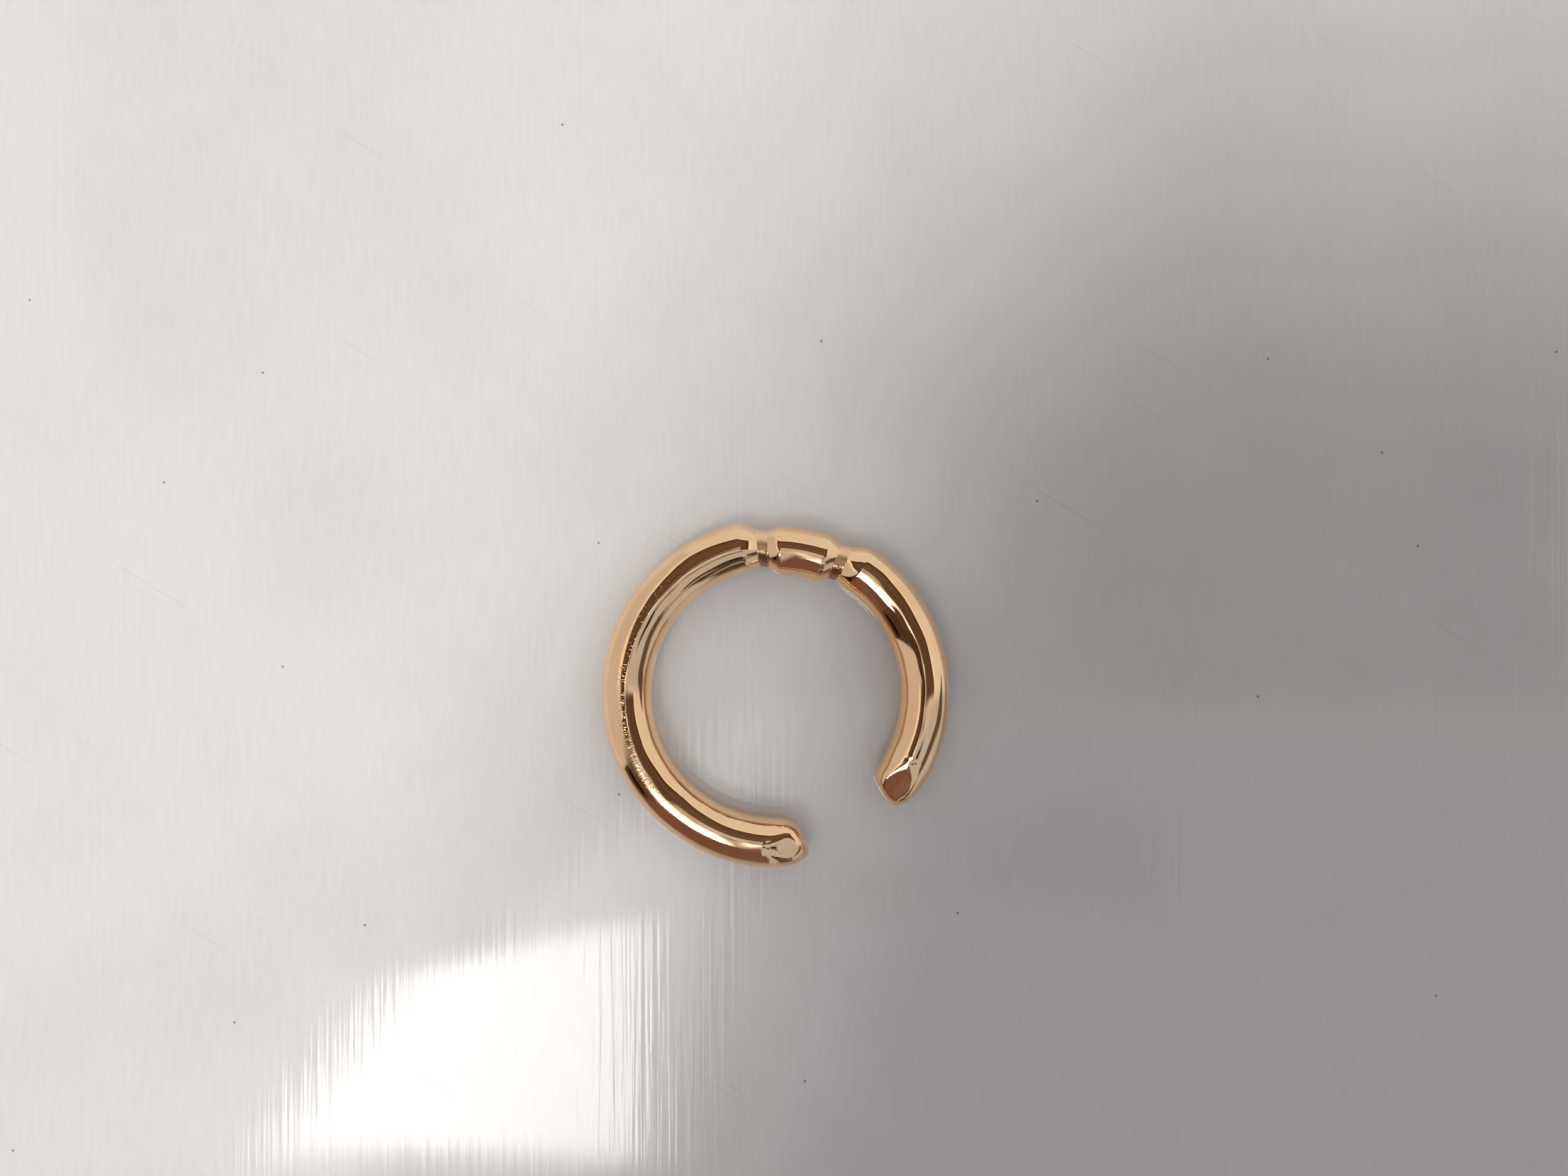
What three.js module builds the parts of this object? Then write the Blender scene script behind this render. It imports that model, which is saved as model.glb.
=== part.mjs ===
// Ear cuff: one cast and polished body, lying on its side.
//
// A round bar is bent almost into a circle and left open at the mouth, where the edge of the ear
// slips in. Two grooves run right round the bar and set off a short middle barrel, which leaves a
// long arm on one side and a short arm on the other. A groove is a short thinner neck between two
// rounded shoulders. Both arms end in a blunt dome.
//
// Millimetres, +Z up. The ring's centre is on the Z axis, the cuff rests on z = 0 and its mouth
// opens towards -Y. Angles are turned counter-clockwise from +X, seen from above.
import * as THREE from "three";

// Driving dimensions of the ring.
const OUTER_DIAMETER = 16; // across the two arms
const BAR_DIAMETER = 2.3; // thickness of both arms
const MOUTH_WIDTH = 4.2; // between the two noses
const SHORT_ARM_LENGTH = 12.92; // along the bar, from its nose to the middle of its groove

// Driving dimensions of the middle barrel and the two grooves beside it.
const BARREL_DIAMETER = 2.24;
const BARREL_LENGTH = 3.56; // between the middles of the two grooves
const BARREL_INSET = 0.28; // how far the barrel's own centre line runs inside that of the arms
const GROOVE_DEPTH = 0.27; // of the necks below the neighbouring bar, all the way round
const NECK_LENGTH = 0.44; // of the straight bottom of a groove
const ARM_SHOULDER_LENGTH = 0.8; // of the rounded shoulder beside it, on an arm
const BARREL_SHOULDER_LENGTH = 0.56; // and on the barrel

// Driving dimensions of the domed ends and of the strip underneath.
const DOME_LENGTH = 1.05; // over which the ends round off, seen from above
const DOME_BLUNTNESS = 2.35; // 2 makes an ellipse, more makes a blunter end
const NOSE_OFFSET = 0.32; // how far the noses lie outside the centre line
const LONG_TAPER_LENGTH = 1.75; // over which the long arm's facets slope and its sides draw in
const SHORT_TAPER_LENGTH = 2.05;
const LONG_TAPER_DEGREES = 12; // of the flat facets on its top and underside
const SHORT_TAPER_DEGREES = 13.5;
const SIDE_TAPER_DEGREES = 4.5;
const TAPER_ROUNDING = 0.2; // on each side of the line where the taper begins
const FACET_ROUNDING = 0.1; // of the edge round each sloping facet
const REST_FLAT_WIDTH = 0.5; // the narrow strip that the cuff lies on

// How fine the faceted surface is.
const SIDES = 36; // of each cross-section
const STATION_STEP = 0.62; // the most between two sections of a plain arm
const NECK_STEPS = 2; // sections from the middle of a neck to its end
const SHOULDER_STEPS = 7; // sections along a rounded shoulder
const DOME_STEPS = 8;

const BAR_RADIUS = BAR_DIAMETER / 2;
const RING_RADIUS = (OUTER_DIAMETER - BAR_DIAMETER) / 2; // the arms' centre line
const BARREL_RADIUS = BARREL_DIAMETER / 2;
const BARREL_RING_RADIUS = RING_RADIUS - BARREL_INSET;
const FLAT_SAGITTA = BAR_RADIUS - Math.sqrt(BAR_RADIUS ** 2 - (REST_FLAT_WIDTH / 2) ** 2);
const CENTRE_HEIGHT = BAR_RADIUS - FLAT_SAGITTA;

// The two kinds of stretch between the grooves: centre line, thickness and their shoulders.
const ARM = { ring: RING_RADIUS, bar: BAR_RADIUS, shoulder: ARM_SHOULDER_LENGTH };
const BARREL = { ring: BARREL_RING_RADIUS, bar: BARREL_RADIUS, shoulder: BARREL_SHOULDER_LENGTH };

// Angles of the noses and grooves, in radians, from the lengths along the bar.
const MOUTH_MIDDLE = -Math.PI / 2;
const HALF_MOUTH = Math.asin(MOUTH_WIDTH / 2 / (RING_RADIUS + NOSE_OFFSET));
const SHORT_NOSE = MOUTH_MIDDLE + HALF_MOUTH;
const LONG_NOSE = MOUTH_MIDDLE + 2 * Math.PI - HALF_MOUTH;
const SHORT_GROOVE = SHORT_NOSE + SHORT_ARM_LENGTH / RING_RADIUS;
const LONG_GROOVE = SHORT_GROOVE + BARREL_LENGTH / BARREL_RING_RADIUS;

// Rises smoothly from 0 to 1 with level ends.
const ease = (share) => share * share * (3 - 2 * share);

// How far the surface lies below the plain bar, at a distance from a groove's middle. The shoulder
// falls with share ** 1.5: it bends off quickly and meets the neck in a crisp line.
function grooveDrop(distance, shoulder) {
  const share = (NECK_LENGTH / 2 + shoulder - distance) / shoulder; // 0 on plain bar
  return GROOVE_DEPTH * THREE.MathUtils.clamp(share, 0, 1) ** 1.5;
}

// Distances of the sections on one side of a groove's middle, from there to the plain bar. They
// lie closest together where the shoulder begins.
function grooveDistances(shoulder) {
  return [
    ...Array.from({ length: NECK_STEPS }, (_, i) => ((i + 1) / NECK_STEPS) * (NECK_LENGTH / 2)),
    ...Array.from({ length: SHOULDER_STEPS }, (_, i) => {
      const left = 1 - (i + 1) / SHOULDER_STEPS;
      return NECK_LENGTH / 2 + shoulder * (1 - left ** 1.5);
    }),
  ];
}

// One row per section: its angle, the radius of the centre line there and the bar's own radius.
function groovedSections(groove, before, after) {
  const distances = [
    ...grooveDistances(before.shoulder).map((d) => -d).reverse(),
    0,
    ...grooveDistances(after.shoulder),
  ];
  const start = distances[0];
  const end = distances[distances.length - 1];
  return distances.map((distance) => {
    const side = distance < 0 ? before : after;
    const blend = ease((distance - start) / (end - start));
    return {
      angle: groove + distance / side.ring,
      ring: before.ring + (after.ring - before.ring) * blend,
      bar:
        before.bar +
        (after.bar - before.bar) * blend -
        grooveDrop(Math.abs(distance), side.shoulder),
    };
  });
}

// Evenly spaced sections strictly between two angles of a plain stretch.
function plainSections(from, to, stretch) {
  const count = Math.ceil(((to - from) * stretch.ring) / STATION_STEP);
  return Array.from({ length: count - 1 }, (_, i) => ({
    angle: from + ((to - from) * (i + 1)) / count,
    ring: stretch.ring,
    bar: stretch.bar,
  }));
}

// Follows the larger of value and 0, with the corner rounded over this far on each side.
function softRamp(value, rounding) {
  if (Math.abs(value) < rounding) {
    return (value + rounding) ** 2 / (4 * rounding);
  }
  return Math.max(value, 0);
}

// What is left of the bar's radius at a distance from the nose, on a taper of so many degrees.
function taperedRadius(distance, length, degrees) {
  const slope = Math.tan(THREE.MathUtils.degToRad(degrees));
  return BAR_RADIUS - slope * softRamp(length - distance, TAPER_ROUNDING);
}

// A domed end. Seen from above it is blunt, and its middles drift outwards towards the nose. In
// side view it is round, with a sloping flat facet filed on its top and one on its underside.
function domeSections(nose, taper, towardsBar) {
  const distances = [
    ...Array.from(
      { length: DOME_STEPS },
      (_, i) => DOME_LENGTH * (1 - Math.cos(((i + 1) / DOME_STEPS) * (Math.PI / 2))),
    ),
    ...[-1, 0, 1].map((side) => taper.length + side * TAPER_ROUNDING),
  ];
  return distances.map((distance) => {
    const share = Math.max(1 - distance / DOME_LENGTH, 0); // 1 at the nose
    const blunt = (1 - share ** DOME_BLUNTNESS) ** (1 / DOME_BLUNTNESS);
    const noseShare = Math.max(1 - distance / BAR_RADIUS, 0);
    return {
      angle: nose + (towardsBar * distance) / RING_RADIUS,
      ring: RING_RADIUS + NOSE_OFFSET * share ** 4,
      bar: taperedRadius(distance, taper.length, SIDE_TAPER_DEGREES) * blunt,
      tall: BAR_RADIUS * Math.sqrt(1 - noseShare ** 2),
      facet: taperedRadius(distance, taper.length, taper.degrees),
    };
  });
}

// The corners of one section, which is as high as wide unless tall says otherwise, and cut off
// above and below at the height of the facets. The chord between the first and the last is the
// strip underneath.
function sectionCorners({ angle, ring, bar, tall = bar, facet = 2 * bar }) {
  const halfFlat = Math.min(REST_FLAT_WIDTH / 2, bar / 2);
  const start = Math.asin(halfFlat / bar);
  const sweep = 2 * Math.PI - 2 * start;
  return Array.from({ length: SIDES }, (_, i) => {
    const around = -Math.PI / 2 + start + (sweep * i) / (SIDES - 1);
    const reach = ring + bar * Math.cos(around);
    const rise = tall * Math.sin(around);
    const filedOff = softRamp(Math.abs(rise) - facet, FACET_ROUNDING);
    return new THREE.Vector3(
      reach * Math.cos(angle),
      reach * Math.sin(angle),
      CENTRE_HEIGHT + rise - Math.sign(rise) * filedOff,
    );
  });
}

// A closed skin over the sections, with a point at each nose.
function sweptBody(rows, firstNose, lastNose) {
  const points = [firstNose, ...rows.flatMap(sectionCorners), lastNose];
  const corner = (row, side) => 1 + row * SIDES + (side % SIDES);
  const faces = [];
  for (let side = 0; side < SIDES; side++) {
    faces.push(0, corner(0, side), corner(0, side + 1));
    for (let row = 0; row < rows.length - 1; row++) {
      const [a, b] = [corner(row, side), corner(row, side + 1)];
      const [c, d] = [corner(row + 1, side + 1), corner(row + 1, side)];
      faces.push(a, c, b, a, d, c);
    }
    const last = rows.length - 1;
    faces.push(points.length - 1, corner(last, side + 1), corner(last, side));
  }
  const geometry = new THREE.BufferGeometry().setFromPoints(points);
  geometry.setIndex(faces);
  geometry.computeVertexNormals();
  return geometry;
}

function nosePoint(angle) {
  const reach = RING_RADIUS + NOSE_OFFSET;
  return new THREE.Vector3(reach * Math.cos(angle), reach * Math.sin(angle), CENTRE_HEIGHT);
}

function makeCuffBody() {
  const shortTaper = { length: SHORT_TAPER_LENGTH, degrees: SHORT_TAPER_DEGREES };
  const longTaper = { length: LONG_TAPER_LENGTH, degrees: LONG_TAPER_DEGREES };
  const shortDome = domeSections(SHORT_NOSE, shortTaper, 1);
  const longDome = domeSections(LONG_NOSE, longTaper, -1);
  const shortGroove = groovedSections(SHORT_GROOVE, ARM, BARREL);
  const longGroove = groovedSections(LONG_GROOVE, BARREL, ARM);
  const first = (rows) => rows[0].angle;
  const last = (rows) => rows[rows.length - 1].angle;
  const rows = [
    ...shortDome,
    ...plainSections(last(shortDome), first(shortGroove), ARM),
    ...shortGroove,
    ...plainSections(last(shortGroove), first(longGroove), BARREL),
    ...longGroove,
    ...plainSections(last(longGroove), last(longDome), ARM),
    ...longDome.reverse(),
  ];
  return sweptBody(rows, nosePoint(SHORT_NOSE), nosePoint(LONG_NOSE));
}

// Polished metal under a thin rose-tinted gold plating.
const polishedGold = new THREE.MeshStandardMaterial({
  color: 0xe0a77b,
  metalness: 1,
  roughness: 0.08,
});

const cuffBody = new THREE.Mesh(makeCuffBody(), polishedGold);
cuffBody.name = "cuff_body";

const group = new THREE.Group();
group.add(cuffBody);

export default group;
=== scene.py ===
# %% [markdown]
# # Ear cuff: a mirror-polished bar bent into an open ring
# The cuff is one piece of metal: a round bar bent almost into a circle, with two round grooves
# that set off a short middle barrel, and a mouth between two domed ends. It could be a tube with a
# bevelled curve, but such a tube can't thin itself in the grooves and round off at the ends in one
# smooth skin. So the skin is worked out as one surface of two parameters: how far along the bar a
# point lies, and how far round the bar.

# %% Load the measured frame
import math

import bpy
import numpy as np
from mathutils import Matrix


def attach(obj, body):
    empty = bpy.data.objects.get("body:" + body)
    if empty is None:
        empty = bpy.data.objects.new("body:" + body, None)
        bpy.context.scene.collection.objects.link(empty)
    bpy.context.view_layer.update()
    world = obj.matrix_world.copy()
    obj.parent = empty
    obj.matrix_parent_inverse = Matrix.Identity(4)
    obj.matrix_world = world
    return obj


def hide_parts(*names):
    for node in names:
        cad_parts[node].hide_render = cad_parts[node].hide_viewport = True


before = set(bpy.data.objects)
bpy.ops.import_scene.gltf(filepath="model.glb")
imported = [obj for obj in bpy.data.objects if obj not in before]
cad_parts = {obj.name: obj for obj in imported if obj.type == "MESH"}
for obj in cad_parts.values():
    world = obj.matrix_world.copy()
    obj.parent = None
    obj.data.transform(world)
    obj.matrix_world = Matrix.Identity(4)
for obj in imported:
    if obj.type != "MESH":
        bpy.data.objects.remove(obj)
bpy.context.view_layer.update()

# %% [markdown]
# ## Colours
# Colours are written as the hex values that a picture shows, and a shader works in linear light,
# so one function turns them.


# %% Turn a hex colour to linear light
def linear(hex_colour):
    """Each channel c of the picture: c / 12.92 when dark, else ((c + 0.055) / 1.055) ** 2.4."""
    channels = [int(hex_colour[i:i + 2], 16) / 255 for i in (1, 3, 5)]
    return [c / 12.92 if c <= 0.04045 else ((c + 0.055) / 1.055) ** 2.4 for c in channels] + [1.0]


# %% [markdown]
# ## Sizes
# The bar's sizes are those of the solid frame, in metres, so that the fine skin lies on the
# faceted one.

# %% Name the cuff's sizes
MM = 0.001
OUTER_RADIUS = 8.0 * MM
BAR_RADIUS = 1.15 * MM
BARREL_RADIUS = 1.12 * MM
BARREL_INSET = 0.28 * MM  # of its centre line from that of the arms
BARREL_LENGTH = 3.56 * MM  # between the middles of the two grooves
SHORT_ARM_LENGTH = 12.92 * MM  # from its nose to the middle of its groove
MOUTH_WIDTH = 4.2 * MM  # between the two noses
GROOVE_DEPTH = 0.27 * MM
NECK_LENGTH = 0.44 * MM  # of the straight bottom of a groove
ARM_SHOULDER_LENGTH = 0.8 * MM
BARREL_SHOULDER_LENGTH = 0.56 * MM
DOME_LENGTH = 1.05 * MM
DOME_BLUNTNESS = 2.35  # 2 makes an ellipse, more makes a blunter end
NOSE_OFFSET = 0.32 * MM  # how far the noses lie outside the centre line
LONG_TAPER_LENGTH = 1.75 * MM
SHORT_TAPER_LENGTH = 2.05 * MM
LONG_TAPER = math.radians(12)  # slope of the facets
SHORT_TAPER = math.radians(13.5)
SIDE_TAPER = math.radians(4.5)
TAPER_ROUNDING = 0.2 * MM  # on each side of the line where a taper begins
FACET_ROUNDING = 0.1 * MM  # of the edge round each facet
REST_FLAT_WIDTH = 0.5 * MM  # the narrow strip that the cuff lies on

RING_RADIUS = OUTER_RADIUS - BAR_RADIUS
BARREL_RING_RADIUS = RING_RADIUS - BARREL_INSET
CENTRE_HEIGHT = math.sqrt(BAR_RADIUS**2 - (REST_FLAT_WIDTH / 2) ** 2)
HALF_MOUTH = math.asin(MOUTH_WIDTH / 2 / (RING_RADIUS + NOSE_OFFSET))
SHORT_NOSE = -math.pi / 2 + HALF_MOUTH
LONG_NOSE = 1.5 * math.pi - HALF_MOUTH
SHORT_GROOVE = SHORT_NOSE + SHORT_ARM_LENGTH / RING_RADIUS
LONG_GROOVE = SHORT_GROOVE + BARREL_LENGTH / BARREL_RING_RADIUS
print("noses and grooves at, degrees:",
      [round(math.degrees(a), 1) for a in (SHORT_NOSE, SHORT_GROOVE, LONG_GROOVE, LONG_NOSE)])

# %% [markdown]
# ## The grooves
# On the real cuff each arm ends at its groove in a small dome, then comes a short thinner neck, and
# the barrel begins with a rounded edge of its own. A loft through a few drawn sections would
# smooth the crisp line at the foot of each shoulder away. A formula keeps it: the shoulder bends
# off quickly and meets the neck at an angle.

# %% Shape a groove
def groove_drop(distance, shoulder):
    """Depth below the plain bar: share^1.5 of the groove's depth, share going from 0 to 1 at the neck."""
    share = np.clip((NECK_LENGTH / 2 + shoulder - np.abs(distance)) / shoulder, 0, 1)
    return GROOVE_DEPTH * share**1.5


print("shoulders meet the necks at, degrees:",
      [round(math.degrees(math.atan(1.5 * GROOVE_DEPTH / length)), 1)
       for length in (ARM_SHOULDER_LENGTH, BARREL_SHOULDER_LENGTH)])

# %% [markdown]
# ## Sections along the bar
# Each section of the bar has an angle round the ring, the radius of the centre line there, and its
# own half width and half height. They lie close together where the bar's thickness changes and
# wider on plain bar. A fifth number is the height of the flat facet that is filed on the top and
# the underside of each end. It slopes down to the nose, and shows as an oval where the bar's long
# reflections break off.

# %% Lay out the sections
NECK_SECTIONS = 8  # from the middle of a neck to its end
SHOULDER_SECTIONS = 44
DOME_SECTIONS = 48
PLAIN_SPACING = 0.075 * MM


def ease(share):
    """Rises from 0 to 1 with level ends: 3 s^2 - 2 s^3."""
    return share * share * (3 - 2 * share)


def rows(angle, ring, half_width, half_height, facet=2 * BAR_RADIUS):
    """One row for each section, from columns or single numbers; no facet where it lies off the bar."""
    return np.stack(np.broadcast_arrays(angle, ring, half_width, half_height, facet), axis=1)


def groove_distances(shoulder):
    """From a neck's middle to the plain bar, closest together where the shoulder begins."""
    neck = np.linspace(0, NECK_LENGTH / 2, NECK_SECTIONS + 1)
    left = np.linspace(1, 0, SHOULDER_SECTIONS + 1)[1:]
    return np.concatenate([neck, NECK_LENGTH / 2 + shoulder * (1 - left**1.5)])


def grooved(middle, before, after):
    """Sections across a groove, from the stretch before it to the stretch after it."""
    distance = np.concatenate([-groove_distances(before["shoulder"])[:0:-1],
                               groove_distances(after["shoulder"])])
    blend = ease((distance - distance[0]) / (distance[-1] - distance[0]))
    ring = before["ring"] + (after["ring"] - before["ring"]) * blend
    bar = before["bar"] + (after["bar"] - before["bar"]) * blend
    first_half = distance < 0
    bar = bar - groove_drop(distance, np.where(first_half, before["shoulder"], after["shoulder"]))
    turned = distance / np.where(first_half, before["ring"], after["ring"])
    return rows(middle + turned, ring, bar, bar)


def plain(start, end, stretch):
    """Evenly spaced sections strictly between two angles."""
    count = math.ceil((end - start) * stretch["ring"] / PLAIN_SPACING)
    between = np.linspace(start, end, count + 1)[1:-1]
    return rows(between, stretch["ring"], stretch["bar"], stretch["bar"])


print("sections beside a groove's middle:", len(groove_distances(ARM_SHOULDER_LENGTH)))

# %% [markdown]
# ## The ends
# Seen from above an end is blunter than half an ellipse, so it follows a superellipse, and its
# middles drift outwards towards the nose. In side view it is half a ball. Where a facet is filed
# flat, the section is simply cut off at the facet's height, as the file does.

# %% Shape an end
def soft_ramp(value, rounding):
    """The larger of value and 0, its corner a parabola: (value + r)^2 / 4r within r of 0."""
    corner = (value + rounding) ** 2 / (4 * rounding)
    return np.where(np.abs(value) < rounding, corner, np.maximum(value, 0))


def tapered_radius(distance, length, slope):
    """The bar's radius less what a straight taper of this angle has taken off."""
    return BAR_RADIUS - math.tan(slope) * soft_ramp(length - distance, TAPER_ROUNDING)


def domed(nose, taper_length, taper, towards_bar):
    """An end: a superellipse seen from above, a half ball in side view, with its sloping facets."""
    dome = DOME_LENGTH * (1 - np.cos(np.linspace(0, math.pi / 2, DOME_SECTIONS + 1)[1:]))
    tapering = np.arange(DOME_LENGTH, taper_length + TAPER_ROUNDING, PLAIN_SPACING / 2)[1:]
    distance = np.concatenate([dome, tapering])
    share = np.maximum(1 - distance / DOME_LENGTH, 0)
    blunt = (1 - share**DOME_BLUNTNESS) ** (1 / DOME_BLUNTNESS)
    round_nose = np.sqrt(BAR_RADIUS**2 - np.maximum(BAR_RADIUS - distance, 0) ** 2)
    return rows(nose + towards_bar * distance / RING_RADIUS, RING_RADIUS + NOSE_OFFSET * share**4,
                tapered_radius(distance, taper_length, SIDE_TAPER) * blunt, round_nose,
                tapered_radius(distance, taper_length, taper))


print("facets take off at the noses, mm:",
      [round(float(BAR_RADIUS - tapered_radius(0, length, slope)) / MM, 2)
       for length, slope in ((SHORT_TAPER_LENGTH, SHORT_TAPER), (LONG_TAPER_LENGTH, LONG_TAPER))])

# %% [markdown]
# ## From nose to nose
# There are two kinds of plain stretch, the arms and the barrel. Each has the radius of its centre
# line, its own radius and the length of its shoulders.

# %% Put the sections in order
ARM = {"ring": RING_RADIUS, "bar": BAR_RADIUS, "shoulder": ARM_SHOULDER_LENGTH}
BARREL = {"ring": BARREL_RING_RADIUS, "bar": BARREL_RADIUS, "shoulder": BARREL_SHOULDER_LENGTH}
short_dome = domed(SHORT_NOSE, SHORT_TAPER_LENGTH, SHORT_TAPER, 1)
long_dome = domed(LONG_NOSE, LONG_TAPER_LENGTH, LONG_TAPER, -1)[::-1]
short_groove = grooved(SHORT_GROOVE, ARM, BARREL)
long_groove = grooved(LONG_GROOVE, BARREL, ARM)
sections = np.concatenate([
    short_dome,
    plain(short_dome[-1, 0], short_groove[0, 0], ARM),
    short_groove,
    plain(short_groove[-1, 0], long_groove[0, 0], BARREL),
    long_groove,
    plain(long_groove[-1, 0], long_dome[0, 0], ARM),
    long_dome,
])
print("sections along the bar:", len(sections))

# %% [markdown]
# ## The skin
# A point of the skin is the centre line's point plus the bar's radius, turned round the bar. A
# hand-polished bar is never quite true, and a mirror shows it: the edges of what it reflects waver
# a little, so the radius swells and falls by a few thousandths of a millimetre. The short arm also
# keeps a faint lengthwise line beside its crest, where two passes of the file met.

# %% Unevenness and the file's line
SWELL = 0.0018 * MM
SWELL_WAVES = ((5, 1, 0.3), (9, 2, 1.9), (14, 1, 4.1), (23, 3, 2.6))  # along, around, phase
FILE_LINE_HEIGHT = 0.026 * MM
FILE_LINE_REACH = 0.42 * MM
FILE_LINE_EDGE = 0.03 * MM
FILE_LINE_PLACE = 0.34 * MM  # inwards of the crest
FILE_LINE_ENDS = (1.6 * MM, 6.6 * MM)  # along the bar, from the short arm's nose
FILE_LINE_FADES = (1.2 * MM, 2 * MM)  # over which it comes and goes


def swell(angle, around):
    """A few long waves of unlike pitch, along the bar and round it, added up."""
    return SWELL * sum(np.sin(a * angle + r * around + p) for a, r, p in SWELL_WAVES)


def file_line(along, from_crest):
    """A low ridge: its height dies away as exp(-distance / reach), with a rounded top."""
    distance = np.sqrt((from_crest - FILE_LINE_PLACE) ** 2 + FILE_LINE_EDGE**2)
    start, end = FILE_LINE_ENDS
    fade_in = ease(np.clip((along - start) / FILE_LINE_FADES[0], 0, 1))
    fade_out = ease(np.clip((end - along) / FILE_LINE_FADES[1], 0, 1))
    return FILE_LINE_HEIGHT * np.exp(-distance / FILE_LINE_REACH) * fade_in * fade_out


print("the most that the bar swells, mm:", round(SWELL * len(SWELL_WAVES) / MM, 4))

# %% Work out the skin
SIDES = 120
angle, ring, half_width, half_height, facet = (sections[:, [i]] for i in range(5))
around = np.linspace(-math.pi, math.pi, SIDES, endpoint=False)[None, :] - math.pi / 2
along = (angle - SHORT_NOSE) * RING_RADIUS * np.ones_like(around)
from_crest = (np.mod(around + math.pi / 2, 2 * math.pi) - math.pi) * half_width
extra = swell(angle, around) * half_width / BAR_RADIUS + file_line(along, from_crest)
reach = ring + (half_width + extra) * np.cos(around)
rise = (half_height + extra) * np.sin(around)
rise = rise - np.sign(rise) * soft_ramp(np.abs(rise) - facet, FACET_ROUNDING)
height = np.maximum(CENTRE_HEIGHT + rise, 0)
skin = np.stack([reach * np.cos(angle), reach * np.sin(angle), height], axis=2)


def nose_point(nose):
    """The very tip of an end, on the level of the centre line."""
    out = RING_RADIUS + NOSE_OFFSET
    return [out * math.cos(nose), out * math.sin(nose), CENTRE_HEIGHT]


points = np.concatenate([
    [nose_point(SHORT_NOSE)],
    skin.reshape(-1, 3),
    [nose_point(LONG_NOSE)],
])
print("skin reaches, mm:", np.round(points.min(0) / MM, 3), np.round(points.max(0) / MM, 3))

# %% Join the points into faces
ROWS = len(sections)
row = np.arange(ROWS - 1)[:, None]
side = np.arange(SIDES)[None, :]
here = 1 + row * SIDES + side
beside = 1 + row * SIDES + (side + 1) % SIDES
quads = np.stack([here, here + SIDES, beside + SIDES, beside], axis=2).reshape(-1, 4)
first = 1 + side[0]
last = 1 + (ROWS - 1) * SIDES + side[0]
first_cap = np.stack([np.zeros(SIDES, int), first, np.roll(first, -1)], axis=1)
last_cap = np.stack([np.full(SIDES, len(points) - 1), np.roll(last, -1), last], axis=1)
faces = quads.tolist() + first_cap.tolist() + last_cap.tolist()
mesh = bpy.data.meshes.new("cuff_skin")
mesh.from_pydata(points.tolist(), [], faces)
mesh.validate()
mesh.shade_smooth()
cuff = bpy.data.objects.new("cuff_skin", mesh)
bpy.context.scene.collection.objects.link(cuff)
print("faces:", len(mesh.polygons), "triangles:", sum(len(p.vertices) - 2 for p in mesh.polygons))

# %% [markdown]
# ## Places on the bar
# Polishing marks follow the bar, so the finish needs to know where along and round the bar each
# point is. An attribute holds both as lengths in millimetres, with 0 round the bar on its crest,
# and as a third number how close a groove is, from 0 to 1.

# %% Store the place on the bar
NECK_MARKS_REACH = 0.16 * MM  # full strength up to here from a neck's middle
NECK_MARKS_FADE = 0.14 * MM
to_groove = np.minimum(np.abs(angle - SHORT_GROOVE), np.abs(angle - LONG_GROOVE)) * RING_RADIUS
fade = ease(np.clip((to_groove - NECK_MARKS_REACH) / NECK_MARKS_FADE, 0, 1))
in_groove = (1 - fade) * np.ones_like(around)
place = np.stack([along / MM, from_crest / MM, in_groove], axis=2).reshape(-1, 3)
place = np.concatenate([[place[0]], place, [place[-1]]])
attribute = mesh.attributes.new("bar_place", "FLOAT_VECTOR", "POINT")
attribute.data.foreach_set("vector", place.astype(np.float32).ravel())
print("bar length, mm:", round(float(place[:, 0].max()), 2))

# %% [markdown]
# ## Nodes
# One helper adds a node of any kind. A second one makes the texture that is used again and again:
# noise that is stretched along one direction, as every rubbed or drawn surface shows it.


# %% Helpers for the shaders
def add_node(tree, kind, *inputs, **named):
    """Adds a node and gives back its outputs.

    Plain arguments fill its inputs in order, and names with a capital or a number (i6) fill the one
    they name, each with a value or a link. Names in small letters set the node's properties.
    """
    node = tree.nodes.new("ShaderNode" + kind)
    wanted = dict(enumerate(inputs))
    for name, value in named.items():
        if name[1:].isdigit():
            wanted[int(name[1:])] = value
        elif name[0].isupper():
            wanted[name] = value
        else:
            setattr(node, name, value)
    for place, value in wanted.items():
        if isinstance(value, bpy.types.NodeSocket):
            tree.links.new(value, node.inputs[place])
        else:
            node.inputs[place].default_value = value
    return node.outputs


def stretched_noise(tree, where, waves, detail, distortion=0.0):
    """Noise with so many waves a millimetre along each axis."""
    scaled = add_node(tree, "VectorMath", where, waves, operation="MULTIPLY")["Vector"]
    return add_node(tree, "TexNoise", Vector=scaled, Scale=1.0, Detail=detail,
                    Distortion=distortion)["Fac"]


MULTIPLY = {"operation": "MULTIPLY"}
ADD = {"operation": "ADD"}
SMOOTH = {"interpolation_type": "SMOOTHSTEP"}  # a Map Range then eases between its two ends
print("helpers for the shaders:", add_node.__name__, stretched_noise.__name__)

# %% [markdown]
# ## The finish
# Rose-tinted gold plating over polished metal is a true mirror: metallic, with hardly any
# roughness, and with the tint of its reflections as its base colour. One flat colour would look
# like a drawing, so every mark of the making follows below. Here the plating's tint drifts a
# little over a millimetre or two, as a thin coat does.

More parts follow.
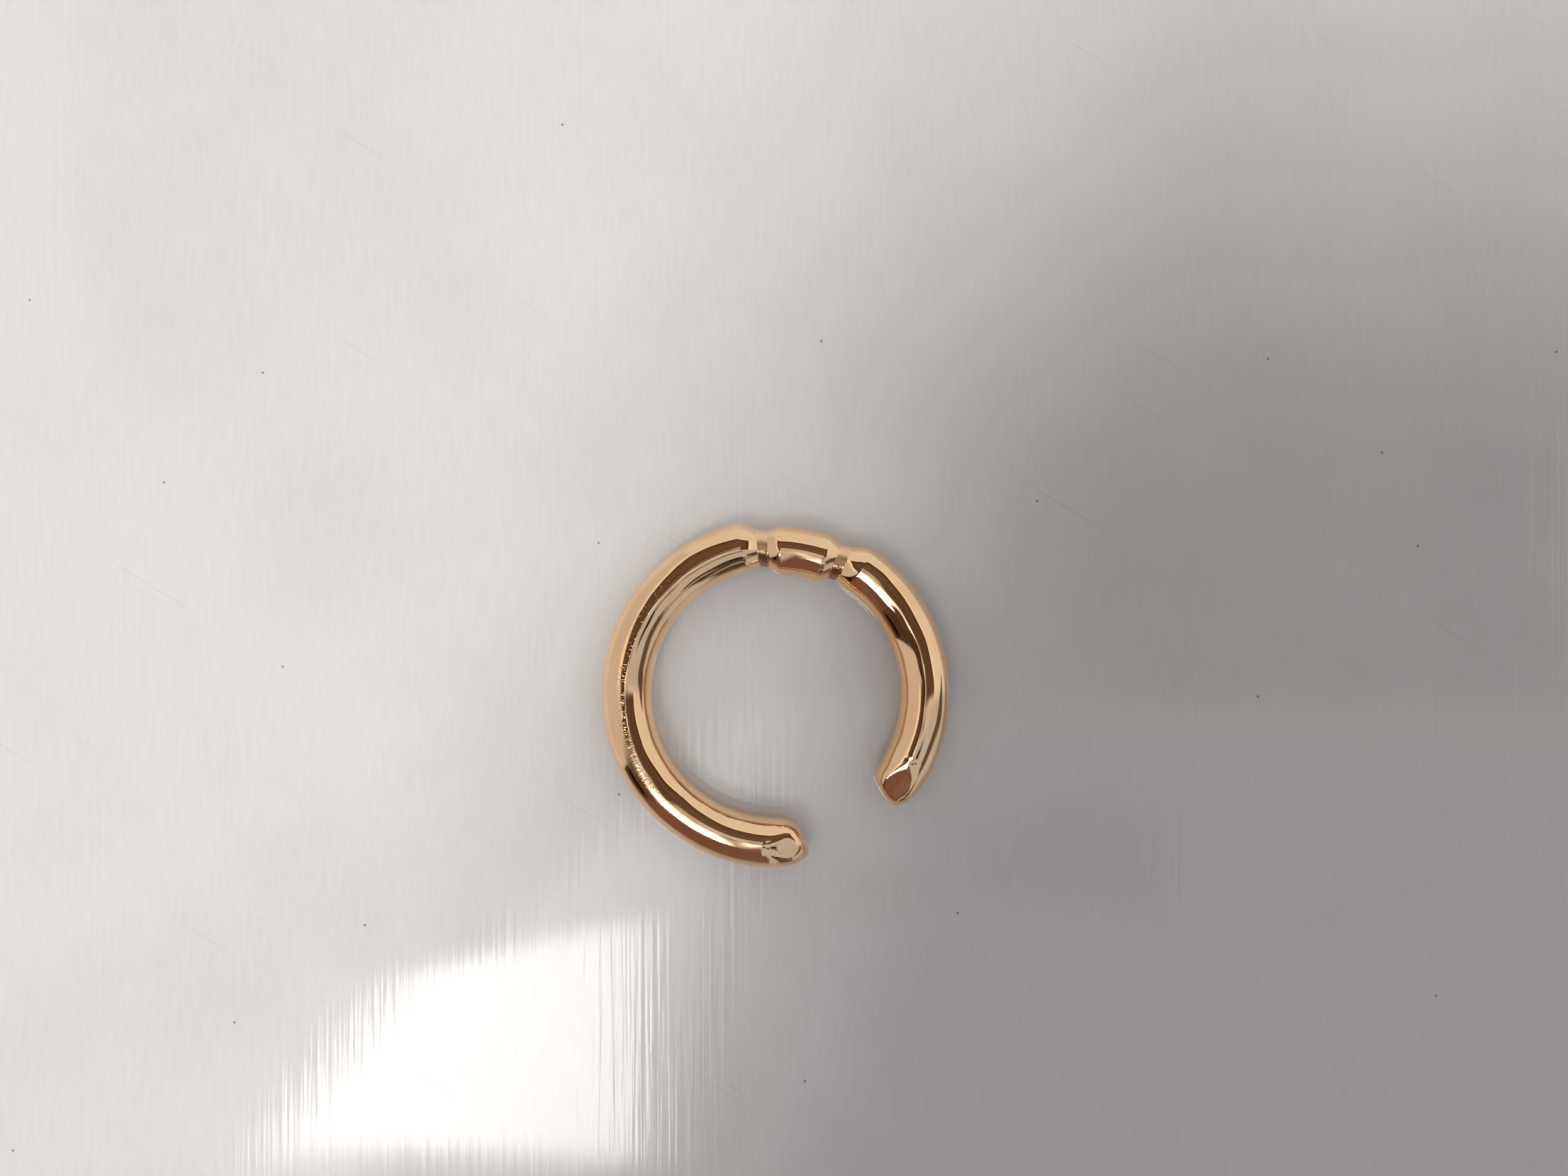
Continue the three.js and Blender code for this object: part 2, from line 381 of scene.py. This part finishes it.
# %% Polished rose gold plating
gold = bpy.data.materials.new("polished rose gold plating")
gold.use_nodes = True
tree = gold.node_tree
tree.nodes.clear()
where = add_node(tree, "Attribute", attribute_name="bar_place")["Vector"]
along_bar, off_crest, groove = add_node(tree, "SeparateXYZ", where)
cloud = stretched_noise(tree, where, (0.5, 0.9, 0.0), 3.0)
tint = add_node(tree, "ValToRGB", cloud)["Color"]
redder, paler = tint.node.color_ramp.elements
redder.position = 0.3
redder.color = linear("#F7CBA0")
paler.position = 0.7
paler.color = linear("#FBD8B2")
print("the plating starts with", len(tree.nodes), "nodes")

# %% [markdown]
# ## Polishing lines
# A cloth wheel was led along the bar. It leaves hair-fine lines, about 22 to the millimetre, over
# wider and softer ones, 5 to the millimetre, which make the edges of reflections fray.

# %% Draw the polishing lines
lines = stretched_noise(tree, where, (0.8, 22.0, 0.0), 2.0)
wide_lines = stretched_noise(tree, where, (0.25, 5.0, 0.0), 1.0)
rough_patches = stretched_noise(tree, where, (1.2, 3.0, 0.0), 2.0)
print("plating nodes with its lines:", len(tree.nodes))

# %% [markdown]
# ## Nicks and a rough stretch
# The long arm's crest carries a row of short nicks across the bar, where a tool slipped. They get
# denser towards the lower end, and there a stretch stayed rough. Both are noise, let through only
# where two smooth steps, one up and one down, say so along the bar and across it.

# %% Nicks across the long arm's crest
NICKED = (20.0, 21.5, 31.0, 32.5)  # mm along the bar: they begin, are in full, still are, end
CREST = (-0.36, -0.26, 0.02, 0.12)  # mm inwards of the crest, likewise
starts = add_node(tree, "MapRange", along_bar, NICKED[0], NICKED[1], **SMOOTH)[0]
stops = add_node(tree, "MapRange", along_bar, NICKED[2], NICKED[3], 1.0, 0.0, **SMOOTH)[0]
nicked = add_node(tree, "Math", starts, stops, **MULTIPLY)[0]
outer_edge = add_node(tree, "MapRange", off_crest, CREST[0], CREST[1], **SMOOTH)[0]
inner_edge = add_node(tree, "MapRange", off_crest, CREST[2], CREST[3], 1.0, 0.0, **SMOOTH)[0]
crest = add_node(tree, "Math", outer_edge, inner_edge, **MULTIPLY)[0]
nicked = add_node(tree, "Math", nicked, crest, **MULTIPLY)[0]
few = add_node(tree, "MapRange", along_bar, 21.0, 30.0, 0.66, 0.5, **SMOOTH)[0]
nick_noise = stretched_noise(tree, where, (17.0, 2.6, 0.0), 1.0, 0.3)
above = add_node(tree, "Math", nick_noise, few, operation="SUBTRACT")[0]
nicks = add_node(tree, "MapRange", above, 0.0, 0.08, **SMOOTH)[0]
nicks = add_node(tree, "Math", nicks, nicked, **MULTIPLY)[0]
print("nicks lie along the bar from", NICKED[0], "to", NICKED[-1], "mm")

# %% A rough stretch beside them
ROUGH = (28.0, 29.5, 31.5, 34.0)
ROUGH_BAND = (-0.62, -0.45, -0.02, 0.1)
starts = add_node(tree, "MapRange", along_bar, ROUGH[0], ROUGH[1], **SMOOTH)[0]
stops = add_node(tree, "MapRange", along_bar, ROUGH[2], ROUGH[3], 1.0, 0.0, **SMOOTH)[0]
rough = add_node(tree, "Math", starts, stops, **MULTIPLY)[0]
outer_edge = add_node(tree, "MapRange", off_crest, ROUGH_BAND[0], ROUGH_BAND[1], **SMOOTH)[0]
inner_edge = add_node(tree, "MapRange", off_crest, ROUGH_BAND[2], ROUGH_BAND[3], 1.0, 0.0, **SMOOTH)[0]
band = add_node(tree, "Math", outer_edge, inner_edge, **MULTIPLY)[0]
rough = add_node(tree, "Math", rough, band, **MULTIPLY)[0]
pits = stretched_noise(tree, where, (10.0, 9.0, 0.0), 2.0)
pits = add_node(tree, "Math", pits, rough, **MULTIPLY)[0]
print("the rough stretch lies from", ROUGH[0], "to", ROUGH[-1], "mm")

# %% [markdown]
# ## Satin necks with painted shade
# The wheel doesn't reach into a neck. Its bottom stays satin, and on the side towards the ring's
# middle it shows file marks. That side is also painted dark red-brown: painted shade, standing in
# for the dark reflections and shade in the groove.

# %% File marks and painted shade
inner_side = add_node(tree, "MapRange", off_crest, -0.05, 0.3, **SMOOTH)[0]
inner_half = add_node(tree, "Math", groove, inner_side, **MULTIPLY)[0]
file_marks = stretched_noise(tree, where, (9.0, 6.0, 0.0), 2.0)
file_marks = add_node(tree, "Math", file_marks, inner_half, **MULTIPLY)[0]
# painted shade: the inner half of each neck is mixed towards dark red-brown
painted_groove_shade = add_node(tree, "Math", inner_half, 0.75, **MULTIPLY)[0]
plating = add_node(tree, "Mix", painted_groove_shade, i6=tint, i7=linear("#7A4630"), data_type="RGBA")[2]
print("plating nodes with its marks:", len(tree.nodes))

# %% [markdown]
# ## The whole plating
# Each mark has a depth in millimetres, and one Bump node turns their sum into a slope. Roughness
# starts as a mirror's and rises where the metal is rough or satin.

# %% Put the plating together
MARKS = ((wide_lines, 0.0022), (nicks, 0.002), (pits, 0.004), (file_marks, 0.04))  # depths, mm
relief = add_node(tree, "Math", lines, 0.0004, **MULTIPLY)[0]
for mark, depth in MARKS:
    deep = add_node(tree, "Math", mark, depth, **MULTIPLY)[0]
    relief = add_node(tree, "Math", relief, deep, **ADD)[0]
bumps = add_node(tree, "Bump", Strength=1.0, Distance=MM, Height=relief)["Normal"]
roughness = add_node(tree, "MapRange", rough_patches, 0.3, 0.75, 0.03, 0.075, **SMOOTH)[0]
for mark, added in ((rough, 0.1), (groove, 0.32), (inner_half, -0.22)):
    rougher = add_node(tree, "Math", mark, added, **MULTIPLY)[0]
    roughness = add_node(tree, "Math", roughness, rougher, **ADD)[0]
shader = add_node(tree, "BsdfPrincipled", Metallic=1.0, Roughness=roughness, Normal=bumps,
                  **{"Base Color": plating})["BSDF"]
add_node(tree, "OutputMaterial", Surface=shader)
mesh.materials.append(gold)
print("plating nodes:", len(tree.nodes))

# %% [markdown]
# ## The floor
# A plain pale board with a glossy lacquer, drawn out in one direction when it was rolled on: its
# hair-fine lines run up the picture and fray the edges of the lamp's reflection. Its colour carries a
# painted shadow: pale on the left, duller to the right and less so towards the top, where the light
# falls off. It also has a faint grain, a few specks of dust and some thin scratches.

# %% Lay the floor
PICTURE_TURN = math.radians(29.0)  # the picture's right-hand direction lies this far clockwise of +X
FLOOR_HALF = 0.6
FLOOR_LEVEL = -0.01 * MM
corners = np.array([[-1, -1], [1, -1], [1, 1], [-1, 1]]) * FLOOR_HALF
floor_mesh = bpy.data.meshes.new("floor")
floor_mesh.from_pydata([[x, y, FLOOR_LEVEL] for x, y in corners], [], [[0, 1, 2, 3]])
floor = bpy.data.objects.new("floor", floor_mesh)
bpy.context.scene.collection.objects.link(floor)
print("floor, m:", 2 * FLOOR_HALF, "square")

# %% Places on the floor, in millimetres along the picture's own directions
board = bpy.data.materials.new("pale glossy lacquered board")
board.use_nodes = True
tree = board.node_tree
tree.nodes.clear()
in_metres = add_node(tree, "TexCoord")["Object"]
turned = add_node(tree, "VectorRotate", in_metres, Angle=PICTURE_TURN, rotation_type="Z_AXIS")[0]
in_mm = add_node(tree, "VectorMath", turned, Scale=1 / MM, operation="SCALE")["Vector"]
rightwards, upwards, _ = add_node(tree, "SeparateXYZ", in_mm)
print("the floor's pattern is turned by", round(math.degrees(PICTURE_TURN), 1), "degrees")

# %% Painted shadow on the board, from pale to dull
lean = add_node(tree, "Math", upwards, 0.35, **MULTIPLY)[0]
leaning = add_node(tree, "Math", rightwards, lean, operation="SUBTRACT")[0]
to_the_right = add_node(tree, "MapRange", leaning, -19.0, 15.0, **SMOOTH)[0]
less_above = add_node(tree, "MapRange", upwards, 8.0, 42.0, 1.0, 0.3, **SMOOTH)[0]
# painted shadow: the board's colour darkens to the right, less so towards the top
painted_shadow = add_node(tree, "Math", to_the_right, less_above, **MULTIPLY)[0]
painted_shadow_tone = add_node(tree, "Mix", painted_shadow, i6=linear("#E7E6E6"), i7=linear("#969394"), data_type="RGBA")[2]
print("board nodes with its tone:", len(tree.nodes))

# %% Grain, specks and scratches
grain = stretched_noise(tree, in_mm, (5.0, 0.6, 0.0), 3.0)
grain = add_node(tree, "MapRange", grain, 0.2, 0.8, 0.975, 1.025, **SMOOTH)[0]
mottle = stretched_noise(tree, in_mm, (0.12, 0.12, 0.0), 2.0)
cloudy = add_node(tree, "MapRange", mottle, 0.3, 0.7, -0.02, 0.02, **SMOOTH)[0]
shade = add_node(tree, "Math", grain, cloudy, **ADD)[0]
to_speck = add_node(tree, "TexVoronoi", Vector=in_mm, Scale=0.07, voronoi_dimensions="2D")["Distance"]
dust = add_node(tree, "MapRange", to_speck, 0.002, 0.006, 0.35, 1.0, **SMOOTH)[0]
shade = add_node(tree, "Math", shade, dust, **MULTIPLY)[0]
slant = add_node(tree, "VectorRotate", in_mm, Angle=0.55, rotation_type="Z_AXIS")[0]
scratches = stretched_noise(tree, slant, (0.09, 9.0, 0.0), 1.0)
scratches = add_node(tree, "MapRange", scratches, 0.74, 0.8, 1.0, 0.86, **SMOOTH)[0]
shade = add_node(tree, "Math", shade, scratches, **MULTIPLY)[0]
surface_colour = add_node(tree, "VectorMath", painted_shadow_tone, Scale=shade, operation="SCALE")["Vector"]
print("board nodes with its marks:", len(tree.nodes))

# %% Lacquer of the board
LACQUER_RIDGES = 0.008  # mm high
drawn = stretched_noise(tree, in_mm, (3.5, 0.07, 0.0), 3.0)
ridges = add_node(tree, "Math", drawn, LACQUER_RIDGES, **MULTIPLY)[0]
bumps = add_node(tree, "Bump", Strength=1.0, Distance=MM, Height=ridges)["Normal"]
roughness = add_node(tree, "MapRange", mottle, 0.3, 0.7, 0.05, 0.08, **SMOOTH)[0]
shader = add_node(tree, "BsdfPrincipled", Roughness=roughness, Normal=bumps,
                  **{"Base Color": surface_colour})["BSDF"]
add_node(tree, "OutputMaterial", Surface=shader)
floor_mesh.materials.append(board)
print("board nodes:", len(tree.nodes))

# %% [markdown]
# ## The light
# A mirror finish needs something dark to reflect, or it looks like paint. So the studio round the
# cuff is a pale ceiling with a dark card overhead, open below its lower edge, a dark drape on one
# side, a few folds of cloth on the other and one soft lamp between them. Each is a patch of the
# sky with straight edges. Places on the sky are in degrees from straight up: across to the
# picture's right, and up towards its top. An edge is (the direction it faces, how far out it lies
# that way, how soft it is).

# %% Name the patches of the sky
CEILING = "#CDC9C4"
PATCHES = (  # name, colour, strength, edges
    ("pale wall", "#E2E2DC", 1.0, ((220, -6, 1.5),)),
    ("grey daylight", "#BFC4CA", 1.0, ((90, -8, 3), (180, 4, 1.5))),
    ("glow round the card", "#FFF6E4", 1.0,
     ((180, 40, 5), (0, 43, 5), (83, 45, 4), (270, 6, 3), (210, 34, 5))),
    ("rim of the card", "#2A160C", 1.0,
     ((180, 34, 1.2), (0, 38, 1.2), (83, 41.5, 1.2), (270, 6, 1.5), (210, 22.8, 1.5))),
    ("dark card", "#5C4B3B", 1.0,
     ((180, 31, 2), (0, 34, 2.5), (83, 38, 2.5), (270, 6, 1.5), (210, 22, 2))),
    ("paler middle of the card", "#6A5644", 1.0,
     ((180, 24, 7), (0, 26, 7), (83, 30, 7), (270, -10, 7), (210, 16, 6))),
    ("opening in the card", "#D4D0CC", 1.0,
     ((322, 3.3, 1.5), (0, 9, 2.5), (90, 8, 2), (270, 9, 2), (180, 0.5, 1))),
    ("opening beside it", "#D4D0CC", 1.0,
     ((322, 3.3, 1.5), (138, 5, 1.5), (0, 0.5, 1), (270, 9, 2), (180, 18, 5))),
    ("dark drape", "#49392D", 1.0, ((122.5, 3.2, 0.8), (342, -0.6, 1.5))),
    ("brown drape", "#775A51", 1.0, ((90, -18, 2.5), (122.5, -12, 8), (0, -2.2, 1))),
    ("black block", "#1A0C06", 1.0,
     ((122.5, 1.5, 1.5), (302.5, 12, 2), (212.5, 76.3, 2), (32.5, -64.4, 2))),
    ("dark cloth", "#4C4540", 1.0, ((90, -41, 1.5), (180, -4, 1.5), (0, 36, 3))),
    ("brown cloth", "#6A5C50", 0.8, ((125, -44, 1.5), (180, -36, 3), (0, 80, 3), (305, 62, 4))),
    ("light fold", "#A8A29C", 1.0, ((75, -55, 1.5), (255, 61, 2.5), (180, -8, 3), (0, 34, 4))),
    ("second light fold", "#D0C4BC", 1.0, ((125, -54, 2), (305, 58, 2), (35, 14, 4), (215, 12, 4))),
    ("black hem", "#1A0E08", 1.0, ((90, -40, 1), (270, 45, 1.5), (180, -7, 1.5), (0, 31, 1.5))),
    ("dark knob", "#2A1A10", 1.0, ((180, -9, 1.5), (0, 20, 1.5), (90, -12, 1.5), (270, 17, 1.5))),
    ("second dark knob", "#2A1A10", 1.0, ((180, -2, 1), (0, 7, 1), (90, -15, 1), (270, 18, 1))),
    ("glow of the lamp", "#FFFFFF", 2.2,
     ((132, -3.64, 0.6), (347.6, 0.75, 0.6), (262.5, 30.1, 0.8))),
    ("lamp", "#FFFBF4", 11.0,
     ((0, -7.7, 0.3), (100.3, -16.2, 0.5), (145, 4.8, 0.5), (262.5, 30.1, 0.6))),
)

# %% Places on the sky
world = bpy.data.worlds.new("soft studio sky")
bpy.context.scene.world = world
world.use_nodes = True
tree = world.node_tree
tree.nodes.clear()
direction = add_node(tree, "TexCoord")["Generated"]
turned = add_node(tree, "VectorRotate", direction, Angle=PICTURE_TURN, rotation_type="Z_AXIS")[0]
level = add_node(tree, "SeparateXYZ", turned)["Z"]
tilt = add_node(tree, "Math", level, operation="ARCCOSINE")[0]
flat_length = add_node(tree, "Math", tilt, operation="SINE")[0]
flat_length = add_node(tree, "Math", flat_length, 0.0001, operation="MAXIMUM")[0]
stretch = add_node(tree, "Math", tilt, flat_length, operation="DIVIDE")[0]
stretch = add_node(tree, "Math", stretch, math.degrees(1), **MULTIPLY)[0]
sky_map = add_node(tree, "VectorMath", turned, Scale=stretch, operation="SCALE")["Vector"]
print("sky nodes before its patches:", len(tree.nodes))

# %% Lay the patches over the ceiling
colour = linear(CEILING)
for name, hex_colour, strength, edges in PATCHES:
    mask = None
    for faces, limit, soft in edges:
        facing = (math.cos(math.radians(faces)), math.sin(math.radians(faces)), 0)
        out = add_node(tree, "VectorMath", sky_map, facing, operation="DOT_PRODUCT")["Value"]
        inside = add_node(tree, "MapRange", out, limit - soft, limit + soft, 1.0, 0.0, **SMOOTH)[0]
        mask = inside if mask is None else add_node(tree, "Math", mask, inside, **MULTIPLY)[0]
    light = [channel * strength for channel in linear(hex_colour)[:3]] + [1.0]
    colour = add_node(tree, "Mix", mask, i6=colour, i7=light, data_type="RGBA", label=name)[2]
background = add_node(tree, "Background", Color=colour, Strength=1.0)["Background"]
add_node(tree, "OutputWorld", Surface=background)
print("sky patches:", [patch[0] for patch in PATCHES])

# %% [markdown]
# ## The soft fill
# In a pale room light also comes down on the floor from all sides, and keeps the shadows weak. A
# lamp as wide as the ceiling does that. Rays that the polished bar mirrors pass it by, since the
# sky already holds what the bar should show.

# %% Hang the wide fill lamp
FILL_STRENGTH = 1.35
FILL_SPREAD = math.radians(130)
fill_data = bpy.data.lights.new("wide soft fill", "SUN")
fill_data.energy = FILL_STRENGTH
fill_data.angle = FILL_SPREAD
fill_data.color = linear("#FBFDFF")[:3]
fill = bpy.data.objects.new("wide soft fill", fill_data)
fill.visible_glossy = False
bpy.context.scene.collection.objects.link(fill)
print("fill strength:", FILL_STRENGTH)

# %% [markdown]
# ## The camera
# It looks straight down from three fingers' breadth above, so close that the bar's two sides mirror
# different parts of the studio. The ring's middle lies a little below and left of the picture's.

# %% Set the camera
PICTURE_WIDTH, PICTURE_HEIGHT = 2212, 1659
RING_IN_PICTURE = (1094.6, 977.6)  # pixels from the left and from the top
RING_WIDTH_IN_PICTURE = 490.6
CAMERA_HEIGHT = 48 * MM
SENSOR_WIDTH = 36.0
pixel = 2 * OUTER_RADIUS / RING_WIDTH_IN_PICTURE
focal_pixels = (CAMERA_HEIGHT - CENTRE_HEIGHT) / pixel
camera_data = bpy.data.cameras.new("camera")
camera_data.sensor_width = SENSOR_WIDTH
camera_data.lens = focal_pixels / PICTURE_WIDTH * SENSOR_WIDTH
camera_data.clip_start = 1 * MM
camera = bpy.data.objects.new("camera", camera_data)
bpy.context.scene.collection.objects.link(camera)
across = (PICTURE_WIDTH / 2 - RING_IN_PICTURE[0]) * pixel
up = (RING_IN_PICTURE[1] - PICTURE_HEIGHT / 2) * pixel
turn = -PICTURE_TURN
camera.location = (across * math.cos(turn) - up * math.sin(turn),
                   across * math.sin(turn) + up * math.cos(turn), CAMERA_HEIGHT)
camera.rotation_euler = (0, 0, turn)
bpy.context.scene.camera = camera
bpy.context.scene.view_settings.view_transform = "Standard"
print("camera at, mm:", [round(v / MM, 2) for v in camera.location], "lens:", round(camera_data.lens, 1))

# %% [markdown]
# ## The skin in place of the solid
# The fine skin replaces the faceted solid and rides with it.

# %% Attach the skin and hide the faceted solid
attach(cuff, "root")
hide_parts("cuff_body")
